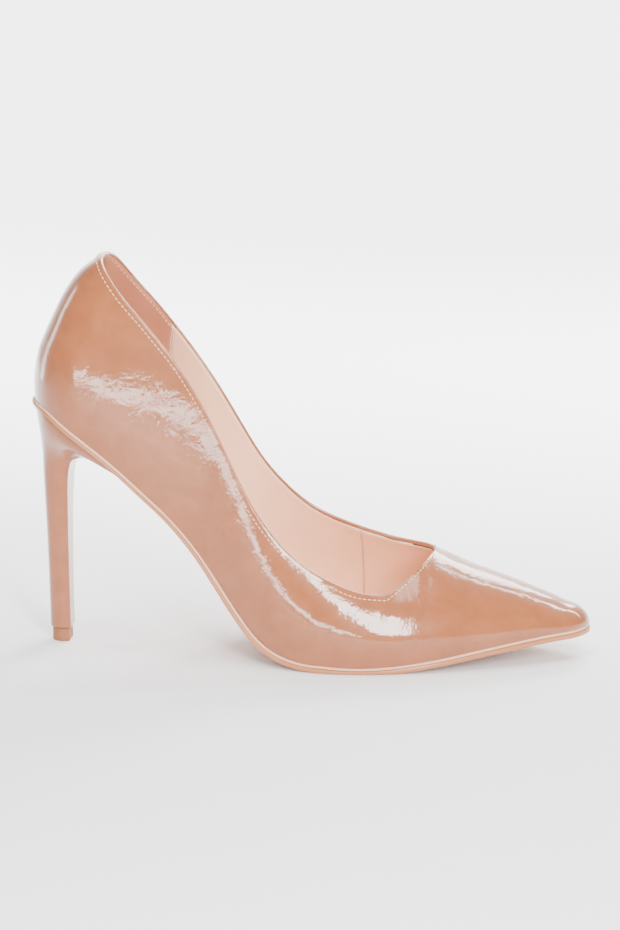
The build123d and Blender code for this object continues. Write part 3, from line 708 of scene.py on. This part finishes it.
def under_sole(spot):
    return feather(spot.x) - sole_bottom(spot.x) * hypot(1, feather(spot.x + 0.5) - feather(spot.x - 0.5))


def up_to_sole(column, steps):
    """Points along one column of the cup, from the neck to where it meets the sole."""
    path = [column[0]]
    for low, high in zip(column, column[1:]):
        if high.z >= under_sole(high):
            a, b = 0.0, 1.0
            for _ in range(20):
                middle = (a + b) / 2
                spot = low.lerp(high, middle)
                a, b = (middle, b) if spot.z < under_sole(spot) else (a, middle)
            path.append(low.lerp(high, a))
            break
        path.append(high)
    sizes = [(b - a).length for a, b in zip(path, path[1:])]
    spots = []
    for k in range(1, steps + 1):
        left, i = sum(sizes) * k / steps, 0
        while i < len(sizes) - 1 and left > sizes[i]:
            left -= sizes[i]
            i += 1
        spots.append(path[i].lerp(path[i + 1], min(1.0, left / sizes[i])))
    return spots


around = len(cup_rings[0])
columns = [up_to_sole([ring[i] for ring in cup_rings], CUP_ROWS) for i in range(around)]
heel_rings = stem_rings + [[column[k] for column in columns] for k in range(CUP_ROWS)]
heel_mesh = bmesh.new()
heel_loops = [[heel_mesh.verts.new(spot * MM) for spot in ring] for ring in heel_rings]
for low, high in zip(heel_loops, heel_loops[1:]):
    for i in range(around):
        k = (i + 1) % around
        heel_mesh.faces.new((low[i], low[k], high[k], high[i]))
bmesh.ops.recalc_face_normals(heel_mesh, faces=heel_mesh.faces)
heel_middle = Vector((0, 0, SEAT / 2)) * MM
facings = [face.normal.dot(face.calc_center_median() - heel_middle) for face in heel_mesh.faces]
if sum(facings) < 0:
    bmesh.ops.reverse_faces(heel_mesh, faces=heel_mesh.faces)
heel_cover = new_piece("heel_cover", heel_mesh, patent)
thicken(heel_cover, 0.5, -1)
rounder(heel_cover, 2)
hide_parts("heel_cover")

# ---- Top piece: hard rubber lift on a steel pin, a little smaller than the heel's end, with
# its treading edge worn round.
rubber = grained("Top piece rubber", (0.25, 0.085, 0.03), (0.33, 0.12, 0.05), 0.6, 2200, 120, 0.3, 0.0003)
TIP_HALF_LENGTH, TIP_HALF_WIDTH = 4.1, 4.3
TIP_ROWS = [
    (0.0, 0.5), (0.12, 0.18), (0.5, 0.0), (3.0, 0.02), (5.5, 0.05), (5.9, 0.12), (6.0, 0.4),
]  # height over the floor, and how far the ring is moved in
tip_rings = []
for z, inset in TIP_ROWS:
    back, width = TIP_HALF_LENGTH - inset, TIP_HALF_WIDTH - inset
    ring = heel_ring((-back, z), (back, z), width, BREAST_SHARE * width)
    tip_rings.append([spot * MM for spot in ring])
heel_tip = ring_body("heel_tip", tip_rings, rubber)
rounder(heel_tip, 2)
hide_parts("heel_tip")

# ---- Badge: small plain oval plate, gold plated, pressed into the waist of the sole.
gold = bpy.data.materials.new("Gold plate")
gold.use_nodes = True
plate = gold.node_tree.nodes["Principled BSDF"]
plate.inputs["Base Color"].default_value = (0.83, 0.6, 0.28, 1)
plate.inputs["Metallic"].default_value = 1.0
plate.inputs["Roughness"].default_value = 0.22
brushed = gold.node_tree.nodes.new("ShaderNodeTexNoise")
brushed.inputs["Scale"].default_value = 1800
polish = gold.node_tree.nodes.new("ShaderNodeBump")
polish.inputs["Strength"].default_value = 0.1
polish.inputs["Distance"].default_value = 0.0001
gold.node_tree.links.new(brushed.outputs["Fac"], polish.inputs["Height"])
gold.node_tree.links.new(polish.outputs["Normal"], plate.inputs["Normal"])
dress("sole_badge", gold)

# ---- Hidden structure: boards, shank, fillers and foam inside the bottom, stiffeners in the upper.
steel = grained("Tempered steel", (0.35, 0.35, 0.37), (0.5, 0.5, 0.52), 0.35, 1500, 80, 0.1, 0.0001)
steel.node_tree.nodes["Principled BSDF"].inputs["Metallic"].default_value = 1.0
board = grained("Fibre board", (0.3, 0.2, 0.12), (0.5, 0.36, 0.22), 0.85, 900, 200, 0.4, 0.0003)
foam = grained("Latex foam", (0.85, 0.8, 0.66), (0.93, 0.89, 0.77), 0.9, 1600, 150, 0.6, 0.0004)
canvas = grained("Cotton backing", (0.8, 0.76, 0.68), (0.9, 0.87, 0.8), 0.9, 1300, 300, 0.5, 0.0003)
plastic = grained("Moulded core plastic", (0.7, 0.67, 0.6), (0.78, 0.75, 0.68), 0.5, 700, 60, 0.1, 0.0002)
HIDDEN = {
    steel: ("steel_shank", "shank_rivets", "heel_dowel", "heel_tip_pin", "heel_screw", "heel_nails"),
    board: ("insole_board", "shank_board", "seat_filler", "bottom_filler"),
    foam: ("heel_pad", "forefoot_pad"),
    canvas: ("topline_tape", "interlining", "toe_puff", "heel_counter"),
    plastic: ("heel_core",),
}
for material, names in HIDDEN.items():
    for name in names:
        dress(name, material)

# ---- Studio: a pale seamless sweep, soft lights over and behind the shoe, and softboxes
# placed so that the patent's highlights fall on the heel, the waist, the vamp and the crest.
SWEEP_BACK, SWEEP_RADIUS, SWEEP_TOP = 1.3, 0.8, 2.6


def sweep_spot(i, j):
    """Floor that runs back and curls up into a backdrop."""
    across = -3 + 6 * i / 8
    if j <= 4:
        return Vector((across, -3 + (SWEEP_BACK + 3) * j / 4, 0))
    turn = min(1.0, (j - 4) / 12) * pi / 2
    curl = Vector((0, sin(turn), 1 - cos(turn))) * SWEEP_RADIUS
    return Vector((across, SWEEP_BACK, 0)) + curl + Vector((0, 0, max(0, j - 16) * SWEEP_TOP / 2))


sweep_mesh = sheet_grid(8, 18, sweep_spot)
floor_data = bpy.data.meshes.new("floor")
sweep_mesh.to_mesh(floor_data)
sweep_mesh.free()
for face in floor_data.polygons:
    face.use_smooth = True
floor = bpy.data.objects.new("floor", floor_data)
bpy.context.scene.collection.objects.link(floor)
floor_paint = grained("Pale floor", (0.93, 0.93, 0.93), (0.94, 0.94, 0.94), 0.75, 60, 3, 0.02, 0.0002)
floor_data.materials.append(floor_paint)

world = bpy.data.worlds.new("Studio")
bpy.context.scene.world = world
world.use_nodes = True
world.node_tree.nodes["Background"].inputs["Color"].default_value = (1, 1, 1, 1)
world.node_tree.nodes["Background"].inputs["Strength"].default_value = 0.35


def soft_light(name, azimuth, elevation, distance, size, power):
    """Softbox around the shoe, facing it; azimuth 0 is in front and 90 off the toe."""
    data = bpy.data.lights.new(name, "AREA")
    data.shape = "RECTANGLE"
    data.size, data.size_y = size
    data.energy = power
    light = bpy.data.objects.new(name, data)
    a, e = radians(azimuth), radians(elevation)
    aim = Vector((0.11, 0.0, 0.07))
    outwards = Vector((sin(a) * cos(e), -cos(a) * cos(e), sin(e)))
    light.location = aim + outwards * distance
    light.rotation_euler = outwards.to_track_quat("Z", "Y").to_euler()
    bpy.context.scene.collection.objects.link(light)
    return light


soft_light("vamp box", 21, 25, 0.9, (0.17, 0.5), 13)
soft_light("waist strip", -12, 0, 0.6, (0.45, 0.05), 1.7)
soft_light("crest box", 160, 38, 0.9, (0.4, 0.3), 9)
soft_light("heel strip", -106, 12, 0.7, (0.12, 0.4), 1.3)
soft_light("overhead", 0, 80, 1.0, (0.8, 0.6), 13)
for hand in (-1, 1):
    backdrop_light = soft_light("backdrop", 180 - hand * 55, 40, 1.3, (0.8, 0.8), 70)
    down = Vector((hand * 0.5, 1.9, 0.2)) - backdrop_light.location
    backdrop_light.rotation_euler = (-down).to_track_quat("Z", "Y").to_euler()

# ---- Camera: a long lens a metre away, a little above the shoe and a little towards its toe.
AZIMUTH, ELEVATION, DISTANCE = radians(6), radians(13), 1.0
LENS = 90.348  # millimetres
camera_data = bpy.data.cameras.new("camera")
camera_data.lens = LENS
camera = bpy.data.objects.new("camera", camera_data)
target = Vector((0.1098, 0.0, 0.0811))
outwards = Vector((sin(AZIMUTH) * cos(ELEVATION), -cos(AZIMUTH) * cos(ELEVATION), sin(ELEVATION)))
camera.location = target + outwards * DISTANCE
camera.rotation_euler = (-outwards).to_track_quat("-Z", "Y").to_euler()
bpy.context.scene.collection.objects.link(camera)
bpy.context.scene.camera = camera
